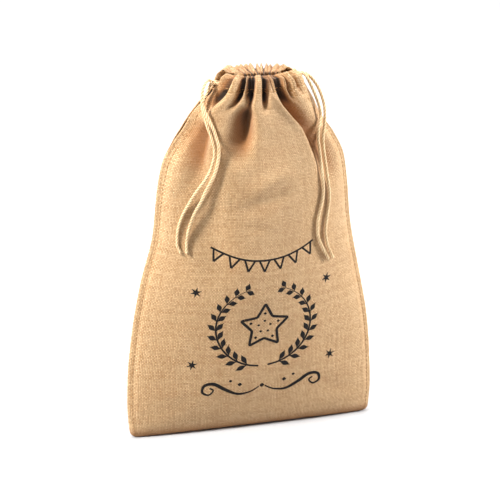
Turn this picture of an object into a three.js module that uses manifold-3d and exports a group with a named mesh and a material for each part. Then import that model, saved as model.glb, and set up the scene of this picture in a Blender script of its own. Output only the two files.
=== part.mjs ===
// Small jute drawstring bag, filled out and standing on its bottom, with its mouth drawn shut.
// Sizes are in millimetres. X runs along the width, the front faces -Y and Z is up. The origin
// is the middle of the flat bottom, on the surface that the bag stands on.
import * as THREE from 'three';
import { mergeVertices } from 'three/addons/utils/BufferGeometryUtils.js';
import Module from 'manifold-3d';

// The cloth
const WALL = 1.6;
const PLEAT_WALL = 2;
const SEAM_WALL = 3.5;
const CLOTH_HEIGHT = 377;
const HEM_DEPTH = 15;
const RIM_LEAN = 3;
const LEAN_HEIGHT = 6;
const RIM_THICKNESS = 3.4;
const RIM_ROUND = 0.6;
const FLAP_WAVE = 0.35;
const HEM_GAP = 0.4;
const WALL_FADE = { from: 235, to: 330 };
const FLOOR_TURN = 17.5;
const FLOOR_FADE = 29;

// The drawcords and the channel that holds them
const CORD_WIDTH = 3;
const CORD_SIDES = 8;
const CORD_INSET = 10;
const POCKET_CLEARANCE = 0.5;
const NOTCH_WIDTH = 10.4;
const NOTCH_DEPTH = 17;
const NOTCH_FROM_MIDDLE = 12;

// The mesh: columns round the bag, and rows up the cloth
const NECK_COLUMNS = 96;
const BODY_ROWS = [0, 8, 15, 17.5, 21, 29, 46, 75, 110, 145, 180, 214, 242];
const NECK_ROWS = [262, 279, 293, 305, 316, 326, 335, 343, 350, 356.5, 362];
const HEM_ROWS = [364.1, 368, 372.1, 374.4];

// Level sections through the filled bag. up: cloth height above the bottom fold, z: level,
// half: half the width, mid: middle of the width, seam: Y of the side seams, front and back:
// how far each panel stands out from the seams. frontBow and backBow: how round each panel
// is, where 0.5 makes half an ellipse, 1 a lens and less than 0.5 a box with round corners.
const SECTIONS = [
  { up: 0, z: 0, half: 107, mid: 0, seam: -12, front: -9, back: 9, frontBow: 0.6, backBow: 0.6 },
  { up: 8, z: 0, half: 110.5, mid: 0, seam: -12, front: -3, back: 22, frontBow: 0.4, backBow: 0.6 },
  { up: 15, z: 0, half: 113.5, mid: 0, seam: -12, front: 2, back: 34, frontBow: 0.25, backBow: 0.6 },
  { up: 17.5, z: 1.5, half: 117.5, mid: 0, seam: -12, front: 4.5, back: 38.5, frontBow: 0.25, backBow: 0.6 },
  { up: 21, z: 4.5, half: 119.5, mid: 0, seam: -12, front: 6.8, back: 42, frontBow: 0.27, backBow: 0.6 },
  { up: 29, z: 12, half: 120.6, mid: 0, seam: -11.5, front: 10, back: 46, frontBow: 0.33, backBow: 0.62 },
  { up: 47, z: 30, half: 121.5, mid: 0.1, seam: -10.5, front: 14.5, back: 50, frontBow: 0.45, backBow: 0.66 },
  { up: 77, z: 60, half: 120.5, mid: 0.2, seam: -8.5, front: 21, back: 51, frontBow: 0.62, backBow: 0.72 },
  { up: 117, z: 100, half: 116.4, mid: 1, seam: -5.5, front: 28, back: 50, frontBow: 0.75, backBow: 0.78 },
  { up: 167, z: 150, half: 106.9, mid: 1.2, seam: -2.5, front: 35.5, back: 47, frontBow: 0.85, backBow: 0.85 },
  { up: 218, z: 200, half: 95.3, mid: 3.2, seam: 0, front: 39.5, back: 43, frontBow: 0.85, backBow: 0.85 },
  { up: 258, z: 240, half: 90.9, mid: 3.2, seam: 0, front: 39, back: 41, frontBow: 0.8, backBow: 0.8 },
  { up: 283, z: 265, half: 86.4, mid: 3.5, seam: 0, front: 37.5, back: 38.5, frontBow: 0.75, backBow: 0.75 },
  { up: 305, z: 285, half: 77, mid: 3.3, seam: 0, front: 35, back: 36, frontBow: 0.7, backBow: 0.7 },
  { up: 328, z: 305, half: 63.5, mid: 2.5, seam: 0, front: 32, back: 33, frontBow: 0.62, backBow: 0.62 },
  { up: 346, z: 320, half: 54, mid: 4.5, seam: 0, front: 28.5, back: 29, frontBow: 0.55, backBow: 0.55 },
  { up: 361, z: 332, half: 45, mid: 6.6, seam: 0, front: 25, back: 25, frontBow: 0.48, backBow: 0.48 },
  { up: 369.5, z: 341.5, half: 40.5, mid: 6.9, seam: 0, front: 23, back: 24, frontBow: 0.44, backBow: 0.44 },
  { up: 377, z: 349, half: 36.5, mid: 6.4, seam: 0, front: 20.5, back: 21.5, frontBow: 0.42, backBow: 0.42 },
];

// How each panel's width is gathered. flat: share of the panel's width, from the left seam,
// neck: share of the half turn that this cloth has at the rim.
const FRONT_GATHER = [
  { flat: 0, neck: 0 },
  { flat: 0.1, neck: 0.215 },
  { flat: 0.19, neck: 0.322 },
  { flat: 0.415, neck: 0.403 },
  { flat: 0.57, neck: 0.506 },
  { flat: 0.8, neck: 0.597 },
  { flat: 0.88, neck: 0.685 },
  { flat: 0.94, neck: 0.785 },
  { flat: 1, neck: 1 },
];
const BACK_GATHER = [
  { flat: 0, neck: 0 },
  { flat: 0.1, neck: 0.15 },
  { flat: 0.19, neck: 0.27 },
  { flat: 0.415, neck: 0.44 },
  { flat: 0.57, neck: 0.56 },
  { flat: 0.8, neck: 0.72 },
  { flat: 0.88, neck: 0.8 },
  { flat: 0.94, neck: 0.88 },
  { flat: 1, neck: 1 },
];
const GATHERS = { from: 318, to: 367 };

// Pleats and soft troughs. from, peak and to: millimetres of cloth below the rim where the
// trough starts, is deepest and ends. at and foot: its place at either end, as a share of the
// flat panel. rim: share of the depth that it has where it starts. left and
// right: reach of its two flanks where it starts. spread: how much wider it ends.
const FRONT_FOLDS = [
  { from: 0, peak: 12, to: 34, at: 0.1, foot: 0.05, depth: 6, rim: 0.7, left: 3.6, right: 1.9, spread: 1.3 },
  { from: 0, peak: 16, to: 33, at: 0.19, foot: 0.21, depth: 12, rim: 0.5, left: 2.6, right: 2.4, spread: 1.3 },
  { from: 0, peak: 15, to: 28, at: 0.4, foot: 0.4, depth: 13, rim: 0.45, left: 3.2, right: 3.2, spread: 1 },
  { from: 0, peak: 15, to: 33, at: 0.57, foot: 0.55, depth: 11, rim: 0.45, left: 2.5, right: 2.9, spread: 1.5 },
  { from: 0, peak: 5, to: 18, at: 0.68, foot: 0.68, depth: 5, rim: 0.9, left: 1.9, right: 1.9, spread: 1 },
  { from: 0, peak: 15, to: 48, at: 0.8, foot: 0.79, depth: 9, rim: 0.6, left: 2.2, right: 2.6, spread: 1.8 },
  { from: 12, peak: 46, to: 118, at: 0.79, foot: 0.835, depth: 11, rim: 0, left: 3, right: 8, spread: 1.8 },
  { from: 0, peak: 8, to: 30, at: 0.87, foot: 0.86, depth: 6, rim: 0.8, left: 2.2, right: 2.2, spread: 1.4 },
  { from: 0, peak: 8, to: 24, at: 0.93, foot: 0.94, depth: 5, rim: 0.8, left: 2.2, right: 2.2, spread: 1.2 },
  { from: 27, peak: 50, to: 86, at: 0.405, foot: 0.385, depth: 10, rim: 0.1, left: 3.5, right: 3.5, spread: 3.6 },
  { from: 34, peak: 66, to: 112, at: 0.07, foot: 0.2, depth: 5, rim: 0, left: 8, right: 7, spread: 1.8 },
  { from: 62, peak: 90, to: 118, at: 0.91, foot: 0.89, depth: 3, rim: 0, left: 6, right: 6, spread: 1.4 },
];
const BACK_FOLDS = [
  { from: 0, peak: 12, to: 38, at: 0.1, foot: 0.08, depth: 6, rim: 0.7, left: 2.4, right: 2.4, spread: 1.3 },
  { from: 0, peak: 17, to: 82, at: 0.22, foot: 0.27, depth: 11, rim: 0.5, left: 2.6, right: 2.8, spread: 2.6 },
  { from: 0, peak: 15, to: 36, at: 0.35, foot: 0.34, depth: 11, rim: 0.5, left: 2.5, right: 2.5, spread: 1.4 },
  { from: 0, peak: 20, to: 98, at: 0.49, foot: 0.47, depth: 12, rim: 0.5, left: 2.8, right: 2.6, spread: 3 },
  { from: 0, peak: 14, to: 34, at: 0.62, foot: 0.61, depth: 10, rim: 0.5, left: 2.4, right: 2.5, spread: 1.3 },
  { from: 0, peak: 18, to: 74, at: 0.75, foot: 0.72, depth: 11, rim: 0.5, left: 2.5, right: 2.8, spread: 2.4 },
  { from: 0, peak: 14, to: 42, at: 0.86, foot: 0.86, depth: 9, rim: 0.5, left: 2.4, right: 2.4, spread: 1.5 },
  { from: 0, peak: 12, to: 30, at: 0.94, foot: 0.95, depth: 5, rim: 0.6, left: 2.3, right: 2.3, spread: 1.2 },
];
const HEM_FOLD_LIMIT = 6.1;
const NECK_FOLD_LIMIT = 12;
const LIMIT_FADE = 6;
const RIM_WAVE = 0.65;
const RIM_WAVE_HEIGHT = 5;
const RIM_TILT = 0.1;

// The two drawcords. Each runs round the whole channel, belowRim under the rim, and comes out
// again at its own side, -1 left and 1 right, where its two ends hang free. tails: the route
// of each end, from the notch over the shoulder of the bag and down its front.
const DRAWCORDS = [
  {
    name: 'cord_left',
    side: -1,
    belowRim: 11,
    tails: {
      front: [
        [-36.1, -2.4, 338.7], [-37.9, -2.8, 337.6], [-40.2, -3.8, 333.8], [-42, -4.8, 329.5],
        [-44.5, -6.5, 325.5], [-47, -10.5, 320.5], [-47, -14.5, 315], [-46, -18, 309],
        [-44.5, -21, 303], [-42, -24.5, 295.5], [-40.5, -27, 288], [-40.5, -29, 281],
        [-42, -29.5, 273.5], [-45.5, -29.5, 264], [-50, -28.5, 256], [-56, -27, 247.5],
        [-62, -24, 236.5], [-67, -21.5, 226], [-70.5, -20, 216.5], [-72.5, -19.5, 208],
        [-73, -19.5, 200.5], [-73, -20, 194.5], [-70.5, -22, 188],
      ],
      back: [
        [-36.1, 2.4, 339.2], [-38.6, 1.2, 341], [-42.3, -5, 340.8], [-46, -9, 336.5],
        [-47.5, -11.5, 331.5], [-48.5, -15, 325.5], [-47.5, -18, 319.5], [-45.5, -21, 314],
        [-43, -22.5, 308.5], [-40.5, -24.5, 303], [-38.5, -27, 295.5], [-37, -29.5, 288.5],
        [-37, -31, 280.5], [-38.5, -31.5, 272.5], [-41, -31.8, 264], [-44.5, -31, 256],
        [-49, -30, 247], [-53, -29, 237.5], [-57.5, -27, 228.5], [-61, -25.5, 219],
        [-63.5, -24.5, 210], [-65, -24, 201.5], [-65.5, -24.2, 194.5], [-65.5, -25, 188.5],
      ],
    },
  },
  {
    name: 'cord_right',
    side: 1,
    belowRim: 7.2,
    tails: {
      front: [
        [47.9, -2.4, 343], [50.5, -3.2, 341.4], [53.6, -5.6, 335], [56.8, -7.4, 327.5],
        [60, -8.5, 319.5], [62, -9.5, 313], [62.8, -11.5, 306.5], [61, -15, 300],
        [59, -17.5, 293.5], [58.5, -19, 285], [59.5, -20.8, 276], [60, -23, 267.5],
        [60.5, -25.5, 258.5], [61.5, -27, 249], [62, -27.5, 239.5], [61, -28.5, 230],
        [59, -29.5, 222], [57, -30.5, 214.5], [56.5, -31, 207], [56.5, -31, 200.5],
        [57.5, -30.7, 194.5], [60.5, -29.7, 187.5], [64.5, -28.5, 179.5], [69, -26.8, 171.5],
      ],
      back: [
        [47.5, 2.4, 343], [51.6, 2, 342.3], [56.8, -0.2, 338], [61.8, -3.2, 330.5],
        [65.3, -6, 321.5], [67, -8.5, 313], [67, -11, 305], [66, -13.5, 297.5],
        [64, -16.5, 290], [63.5, -18, 282], [64.5, -19.3, 272], [65.5, -21.5, 262.5],
        [66.5, -23, 253.5], [67.8, -24, 244], [69, -24.2, 236], [69, -24.5, 228.5],
        [68, -25, 221], [67, -25.8, 214], [65.8, -26.7, 206], [65.5, -27, 198.5],
        [66.5, -27, 191], [68.5, -26.4, 183.5], [71.5, -25.5, 177], [74.5, -24.3, 171],
      ],
    },
  },
];

// The way of a drawcord out of the channel. out: beyond the ring that it makes inside, aside:
// to either side of the seam, rise: above its level inside.
const EXIT_LEAD = [
  { out: 9.4, aside: 2.4, rise: 1.2 },
  { out: 6.8, aside: 2.4, rise: 1 },
  { out: 2.6, aside: 3.1, rise: 0 },
];
const LOOP_POINTS = 24;
const LOOP_OPENING = 0.4;
const LOOP_STEPS = 30;
const TAIL_STEPS = 26;

const FRONT = { folds: FRONT_FOLDS, gathers: FRONT_GATHER, depth: 'front', bow: 'frontBow', facing: -1 };
const BACK = { folds: BACK_FOLDS, gathers: BACK_GATHER, depth: 'back', bow: 'backBow', facing: 1 };

const smooth = (x) => THREE.MathUtils.smoothstep(x, 0, 1);
const mix = THREE.MathUtils.lerp;

// A smooth curve through the rows of a table, from one of its columns to another, with no
// overshoot between two rows.
function lookup(rows, from, at, to) {
  const last = rows.length - 1;
  const rise = (k) => (rows[k + 1][to] - rows[k][to]) / (rows[k + 1][from] - rows[k][from]);
  const slope = (k) => {
    if (k === 0) return rise(0);
    if (k === last) return rise(last - 1);
    const below = rise(k - 1);
    const above = rise(k);
    return below * above > 0 ? (2 * below * above) / (below + above) : 0;
  };
  let row = 0;
  while (row < last - 1 && at > rows[row + 1][from]) row += 1;
  const step = rows[row + 1][from] - rows[row][from];
  const x = (at - rows[row][from]) / step;
  const start = rows[row][to];
  const end = rows[row + 1][to];
  const bend = (2 * x - 3) * x * x;
  return start * (1 + bend) - end * bend
    + step * x * (x - 1) * ((x - 1) * slope(row) + x * slope(row + 1));
}

// Columns of the mesh follow the threads: between two rows of the gathers they get a share
// that suits both the flat panel and its gathered neck.
let columnsSoFar = 0;
FRONT_GATHER.forEach((row, k) => {
  const last = FRONT_GATHER[k - 1] ?? row;
  columnsSoFar += Math.sqrt((row.flat - last.flat) * (row.neck - last.neck));
  row.column = columnsSoFar;
});
FRONT_GATHER.forEach((row) => {
  row.column /= columnsSoFar;
});

// Where a thread that stands at `flat` on its panel runs across the bag, from -1 at the left
// seam to 1 at the right one.
function threadAcross(gathers, flat, at) {
  const gathered = smooth((at - GATHERS.from) / (GATHERS.to - GATHERS.from));
  return mix(2 * flat - 1, -Math.cos(Math.PI * lookup(gathers, 'flat', flat, 'neck')), gathered);
}

// Depth of the pleats and troughs at a place on a panel.
function foldDepth(panel, across, at, half) {
  const below = CLOTH_HEIGHT - at;
  let depth = 0;
  for (const fold of panel.folds) {
    if (below < fold.from || below > fold.to) continue;
    const rising = smooth((below - fold.from) / (fold.peak - fold.from));
    const falling = smooth((below - fold.peak) / (fold.to - fold.peak));
    const lift = below < fold.peak ? mix(fold.rim, 1, rising) : 1 - falling;
    const along = (below - fold.from) / (fold.to - fold.from);
    const centre = threadAcross(panel.gathers, mix(fold.at, fold.foot, along), at);
    const offset = (across - centre) * half;
    const reach = (offset < 0 ? fold.left : fold.right) * mix(1, fold.spread, along);
    depth += fold.depth * lift * Math.exp(-((offset / reach) ** 2));
  }
  const limit = mix(HEM_FOLD_LIMIT, NECK_FOLD_LIMIT, smooth((below - HEM_DEPTH) / LIMIT_FADE));
  return depth / (1 + (depth / limit) ** 4) ** 0.25;
}

// A column of the mesh: which panel it is on, and its share of the flat panel.
function columnAt(index, count) {
  const panel = index <= count / 2 ? FRONT : BACK;
  const share = (panel === FRONT ? index : count - index) / (count / 2);
  return { panel, flat: lookup(FRONT_GATHER, 'column', share, 'flat') };
}

const inNeck = (at) => smooth((at - WALL_FADE.from) / (WALL_FADE.to - WALL_FADE.from));

// A point of the bag. at: cloth height above the bottom fold. inset: how far the point is
// inside the outer face of the cloth. flap: for the turned down hem, how deep the point is
// where the outer face is folded in by so much.
function bagPoint(column, at, inset, flap) {
  const below = CLOTH_HEIGHT - at;
  const row = (name) => lookup(SECTIONS, 'up', at, name);
  const { panel } = column;
  const across = threadAcross(panel.gathers, column.flat, at);
  const half = row('half');
  const fold = foldDepth(panel, across, at, half);
  const folded = fold + RIM_LEAN * (1 - smooth(below / LEAN_HEIGHT));
  const faceIn = flap ? flap(folded) : folded + inset * smooth(at / FLOOR_TURN);
  const sideIn = flap ? faceIn : folded + inset * mix(SEAM_WALL / WALL, 1, inNeck(at));
  const out = (row(panel.depth) - faceIn) * (1 - across * across) ** row(panel.bow);
  const y = row('seam') + panel.facing * out;
  const floor = inset * smooth(1 - at / FLOOR_FADE);
  const wave = RIM_WAVE * fold * Math.max(0, 1 - below / RIM_WAVE_HEIGHT);
  const tilt = RIM_TILT * y * smooth((at - GATHERS.from) / (GATHERS.to - GATHERS.from));
  return new THREE.Vector3(row('mid') + (half - sideIn) * across, y, row('z') + floor - wave + tilt);
}

// One closed body from rings of points. A ring with half as many points as the next one is
// stitched to it by three triangles for each of its steps.
function bodyFromRings(rings) {
  const places = [];
  const faces = [];
  const firsts = rings.map((ring) => {
    const first = places.length / 3;
    ring.forEach((point) => places.push(point.x, point.y, point.z));
    return first;
  });
  for (let r = 0; r + 1 < rings.length; r += 1) {
    const low = rings[r].length;
    const high = rings[r + 1].length;
    const steps = Math.min(low, high);
    for (let s = 0; s < steps; s += 1) {
      const a = firsts[r] + (s * low) / steps;
      const b = firsts[r] + (((s + 1) * low) / steps) % low;
      const c = firsts[r + 1] + (s * high) / steps;
      const d = firsts[r + 1] + (((s + 1) * high) / steps) % high;
      if (low === high) {
        faces.push(a, b, d, a, d, c);
      } else if (low < high) {
        faces.push(a, b, c + 1, a, c + 1, c, b, d, c + 1);
      } else {
        faces.push(a, a + 1, c, a + 1, d, c, a + 1, b, d);
      }
    }
  }
  const body = new THREE.BufferGeometry();
  body.setAttribute('position', new THREE.Float32BufferAttribute(places, 3));
  body.setIndex(faces);
  return body;
}

const wasm = await Module();
wasm.setup();

function solidOf(geometry) {
  geometry.deleteAttribute('normal');
  geometry.deleteAttribute('uv');
  const merged = mergeVertices(geometry, 1e-3);
  return new wasm.Manifold(new wasm.Mesh({
    numProp: 3,
    vertProperties: merged.attributes.position.array,
    triVerts: new Uint32Array(merged.index.array),
  }));
}

function geometryOf(solid) {
  const mesh = solid.getMesh();
  const geometry = new THREE.BufferGeometry();
  geometry.setAttribute('position', new THREE.Float32BufferAttribute(mesh.vertProperties, 3));
  geometry.setIndex(Array.from(mesh.triVerts));
  return geometry;
}

// The two side seams stop below the hem, so the channel is open at both sides there.
function sideNotch(side) {
  const rim = SECTIONS.at(-1);
  const length = 2 * rim.half;
  const notch = new THREE.BoxGeometry(length, NOTCH_WIDTH, 2 * NOTCH_DEPTH);
  return notch.translate(rim.mid + side * (NOTCH_FROM_MIDDLE + length / 2), 0, rim.z);
}

// The bag: one piece of jute, folded at the bottom, with its rim turned down inside into a
// hem that the cords run in. The rings go up the outside, over the rim, round the hem and
// down the inside.
function bagCloth() {
  const columns = (count) => Array.from({ length: count }, (_, index) => columnAt(index, count));
  const coarse = columns(NECK_COLUMNS / 2);
  const fine = columns(NECK_COLUMNS);
  const wall = (up) => mix(WALL, PLEAT_WALL, inNeck(up));
  const ring = (set, up, inset, flap) => set.map((column) => bagPoint(column, up, inset, flap));
  const pocketWall = CORD_INSET + CORD_WIDTH / 2 + POCKET_CLEARANCE;
  const flapFace = (fold) => pocketWall + FLAP_WAVE * fold;
  const flapBack = (fold) => flapFace(fold) + WALL;
  const closed = (fold) => fold + PLEAT_WALL + HEM_GAP;
  const closedBack = (fold) => closed(fold) + WALL;
  const rimBack = (fold) => fold + RIM_THICKNESS;
  const hemFoot = NECK_ROWS.at(-1);
  const apex = HEM_ROWS.at(-1);
  const pocketRows = HEM_ROWS.slice(0, -1);
  const top = CLOTH_HEIGHT - RIM_ROUND;
  const down = (rows) => [...rows].reverse();
  const cloth = bodyFromRings([
    ...BODY_ROWS.map((up) => ring(coarse, up, 0)),
    ...[...NECK_ROWS, ...HEM_ROWS, top].map((up) => ring(fine, up, 0)),
    ring(fine, CLOTH_HEIGHT, 0, (fold) => fold + RIM_THICKNESS / 2),
    ring(fine, top, 0, rimBack),
    ring(fine, apex, 0, rimBack),
    ...down(pocketRows).map((up) => ring(fine, up, 0, flapBack)),
    ring(fine, hemFoot, 0, closedBack),
    ring(fine, hemFoot, 0, closed),
    ...pocketRows.map((up) => ring(fine, up, 0, flapFace)),
    ...down([...NECK_ROWS, ...HEM_ROWS]).map((up) => ring(fine, up, wall(up))),
    ...down(BODY_ROWS).map((up) => ring(coarse, up, wall(up))),
  ]);
  const left = solidOf(sideNotch(-1));
  const right = solidOf(sideNotch(1));
  return geometryOf(solidOf(cloth).subtract(left).subtract(right));
}

// The route of a drawcord in the channel: in at its notch, once round and out again.
function loopRoute(cord) {
  const row = (name) => lookup(SECTIONS, 'up', CLOTH_HEIGHT - cord.belowRim, name);
  const halfRing = row('half') - CORD_INSET;
  const level = row('z');
  const middle = row('mid');
  const place = (x, y, rise) => new THREE.Vector3(middle + cord.side * x, y, level + RIM_TILT * y + rise);
  const wayIn = EXIT_LEAD.map(({ out, aside, rise }) => place(halfRing + out, -aside, rise));
  const round = Array.from({ length: LOOP_POINTS + 1 }, (_, k) => {
    const turn = mix(LOOP_OPENING, 2 * Math.PI - LOOP_OPENING, k / LOOP_POINTS);
    const panel = turn < Math.PI ? FRONT : BACK;
    const out = (row(panel.depth) - CORD_INSET) * Math.abs(Math.sin(turn)) ** (2 * row(panel.bow));
    return place(halfRing * Math.cos(turn), panel.facing * out, 0);
  });
  const wayOut = EXIT_LEAD.map(({ out, aside, rise }) => place(halfRing + out, aside, rise));
  return [...wayIn, ...round, ...wayOut.reverse()];
}

function cordAlong(route, steps) {
  const section = new THREE.Shape();
  for (let k = 0; k < CORD_SIDES; k += 1) {
    const turn = (2 * Math.PI * k) / CORD_SIDES;
    const point = [Math.cos(turn) * CORD_WIDTH / 2, Math.sin(turn) * CORD_WIDTH / 2];
    if (k === 0) section.moveTo(...point);
    else section.lineTo(...point);
  }
  const extrudePath = new THREE.CatmullRomCurve3(route, false, 'centripetal');
  return new THREE.ExtrudeGeometry(section, { steps, extrudePath });
}

const jute = new THREE.MeshStandardMaterial({ color: 0xd2ab7a, roughness: 0.95, metalness: 0 });
const cotton = new THREE.MeshStandardMaterial({ color: 0xe8d09a, roughness: 0.8, metalness: 0 });
const bag = new THREE.Group();

function addPiece(name, geometry, material) {
  const piece = new THREE.Mesh(geometry, material);
  piece.name = name;
  bag.add(piece);
}

addPiece('bag_cloth', bagCloth(), jute);
for (const cord of DRAWCORDS) {
  addPiece(`${cord.name}_loop`, cordAlong(loopRoute(cord), LOOP_STEPS), cotton);
  for (const [end, points] of Object.entries(cord.tails)) {
    const route = points.map(([x, y, z]) => new THREE.Vector3(x, y, z));
    addPiece(`${cord.name}_tail_${end}`, cordAlong(route, TAIL_STEPS), cotton);
  }
}

export default bag;
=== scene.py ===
# Small jute treat bag, filled out and standing on its bottom, with its gathered mouth drawn
# shut by two cotton cords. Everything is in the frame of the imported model, where the front
# faces -Y, Z is up and the bag stands on Z 0. Sizes are in metres, except where a comment says
# millimetres.
import math

import bmesh
import bpy
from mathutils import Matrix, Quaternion, Vector, noise
from mathutils.bvhtree import BVHTree
from mathutils.geometry import interpolate_bezier
from mathutils.kdtree import KDTree


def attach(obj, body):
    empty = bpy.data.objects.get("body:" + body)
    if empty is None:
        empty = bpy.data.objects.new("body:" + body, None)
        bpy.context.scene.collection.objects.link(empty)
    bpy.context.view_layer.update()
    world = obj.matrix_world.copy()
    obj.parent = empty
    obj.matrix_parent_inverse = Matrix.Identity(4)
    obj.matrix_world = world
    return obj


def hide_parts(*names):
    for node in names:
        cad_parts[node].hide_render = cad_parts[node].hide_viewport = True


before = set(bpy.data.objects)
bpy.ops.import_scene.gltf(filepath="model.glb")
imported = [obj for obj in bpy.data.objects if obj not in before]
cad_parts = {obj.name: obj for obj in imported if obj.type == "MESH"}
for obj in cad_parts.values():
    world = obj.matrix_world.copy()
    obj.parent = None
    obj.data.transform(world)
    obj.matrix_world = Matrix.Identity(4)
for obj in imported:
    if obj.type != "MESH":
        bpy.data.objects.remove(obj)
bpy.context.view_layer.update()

# Camera
# The bag is seen from a little to its left and above, from 1.3 m away, so that its bottom
# edge rises to the right.
CAMERA_AZIMUTH = math.radians(-15)
CAMERA_ELEVATION = math.radians(21)
CAMERA_DISTANCE = 1.3
CAMERA_TARGET = Vector((0.0005, 0, 0.176))
CAMERA_ROLL = math.radians(0.5)
SENSOR_WIDTH = 36
LENS = 99.8

camera = bpy.data.objects.new("camera", bpy.data.cameras.new("camera"))
bpy.context.collection.objects.link(camera)
camera.data.sensor_width = SENSOR_WIDTH
camera.data.lens = LENS
towards_camera = Vector((
    math.sin(CAMERA_AZIMUTH) * math.cos(CAMERA_ELEVATION),
    -math.cos(CAMERA_AZIMUTH) * math.cos(CAMERA_ELEVATION),
    math.sin(CAMERA_ELEVATION),
))
camera.location = CAMERA_TARGET + towards_camera * CAMERA_DISTANCE
camera.rotation_mode = "QUATERNION"
level = (-towards_camera).to_track_quat("-Z", "Y")
camera.rotation_quaternion = level @ Quaternion((0, 0, 1), CAMERA_ROLL)
bpy.context.scene.camera = camera

# Bag cloth
# One piece of plain woven jute, folded at the bottom and sewn up both sides. Its rim is
# turned down inside as a hem, and the cloth under it falls in pleats and soft troughs.
MM = 0.001

# The cloth in millimetres. Its height is from the bottom fold to the rim.
CLOTH_THICKNESS = 1.0
CLOTH_WIDTH = 250
CLOTH_HEIGHT = 377
HEM_DEPTH = 15

# Level sections through the bag, in millimetres. up: cloth height above the bottom fold,
# half: half the width, mid: middle of the width, seam: Y of the side seams, front and back:
# how far each panel stands out, front_bow and back_bow: 0.5 is half an ellipse, 1 a lens.
SECTIONS = [
    dict(up=0, z=0, half=107, mid=0, seam=-12, front=-9, back=9, front_bow=0.6, back_bow=0.6),
    dict(up=8, z=0, half=110.5, mid=0, seam=-12, front=-3, back=22, front_bow=0.4, back_bow=0.6),
    dict(up=15, z=0, half=113.5, mid=0, seam=-12, front=2, back=34, front_bow=0.25, back_bow=0.6),
    dict(up=17.5, z=1.5, half=117.5, mid=0, seam=-12, front=4.5, back=38.5, front_bow=0.25, back_bow=0.6),
    dict(up=21, z=4.5, half=119.5, mid=0, seam=-12, front=6.8, back=42, front_bow=0.27, back_bow=0.6),
    dict(up=29, z=12, half=120.6, mid=0, seam=-11.5, front=10, back=46, front_bow=0.33, back_bow=0.62),
    dict(up=47, z=30, half=121.5, mid=0.1, seam=-10.5, front=14.5, back=50, front_bow=0.45, back_bow=0.66),
    dict(up=77, z=60, half=120.5, mid=0.2, seam=-8.5, front=21, back=51, front_bow=0.62, back_bow=0.72),
    dict(up=117, z=100, half=116.4, mid=1, seam=-5.5, front=28, back=50, front_bow=0.75, back_bow=0.78),
    dict(up=167, z=150, half=106.9, mid=1.2, seam=-2.5, front=35.5, back=47, front_bow=0.85, back_bow=0.85),
    dict(up=218, z=200, half=95.3, mid=3.2, seam=0, front=39.5, back=43, front_bow=0.85, back_bow=0.85),
    dict(up=258, z=240, half=90.9, mid=3.2, seam=0, front=39, back=41, front_bow=0.8, back_bow=0.8),
    dict(up=283, z=265, half=86.4, mid=3.5, seam=0, front=37.5, back=38.5, front_bow=0.75, back_bow=0.75),
    dict(up=305, z=285, half=77, mid=3.3, seam=0, front=35, back=36, front_bow=0.7, back_bow=0.7),
    dict(up=328, z=305, half=63.5, mid=2.5, seam=0, front=32, back=33, front_bow=0.62, back_bow=0.62),
    dict(up=346, z=320, half=54, mid=4.5, seam=0, front=28.5, back=29, front_bow=0.55, back_bow=0.55),
    dict(up=361, z=332, half=45, mid=6.6, seam=0, front=25, back=25, front_bow=0.48, back_bow=0.48),
    dict(up=369.5, z=341.5, half=40.5, mid=6.9, seam=0, front=23, back=24, front_bow=0.44, back_bow=0.44),
    dict(up=377, z=349, half=36.5, mid=6.4, seam=0, front=20.5, back=21.5, front_bow=0.42, back_bow=0.42),
]

# How each panel is gathered. flat: share of its width, neck: share of its half turn. The
# gathers start and are complete at these cloth heights in millimetres.
FRONT_GATHER = [
    dict(flat=0, neck=0), dict(flat=0.1, neck=0.215), dict(flat=0.19, neck=0.322),
    dict(flat=0.415, neck=0.403), dict(flat=0.57, neck=0.506), dict(flat=0.8, neck=0.597),
    dict(flat=0.88, neck=0.685), dict(flat=0.94, neck=0.785), dict(flat=1, neck=1),
]
BACK_GATHER = [
    dict(flat=0, neck=0), dict(flat=0.1, neck=0.15), dict(flat=0.19, neck=0.27),
    dict(flat=0.415, neck=0.44), dict(flat=0.57, neck=0.56), dict(flat=0.8, neck=0.72),
    dict(flat=0.88, neck=0.8), dict(flat=0.94, neck=0.88), dict(flat=1, neck=1),
]
GATHERS_FROM = 318
GATHERS_TO = 367

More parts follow.
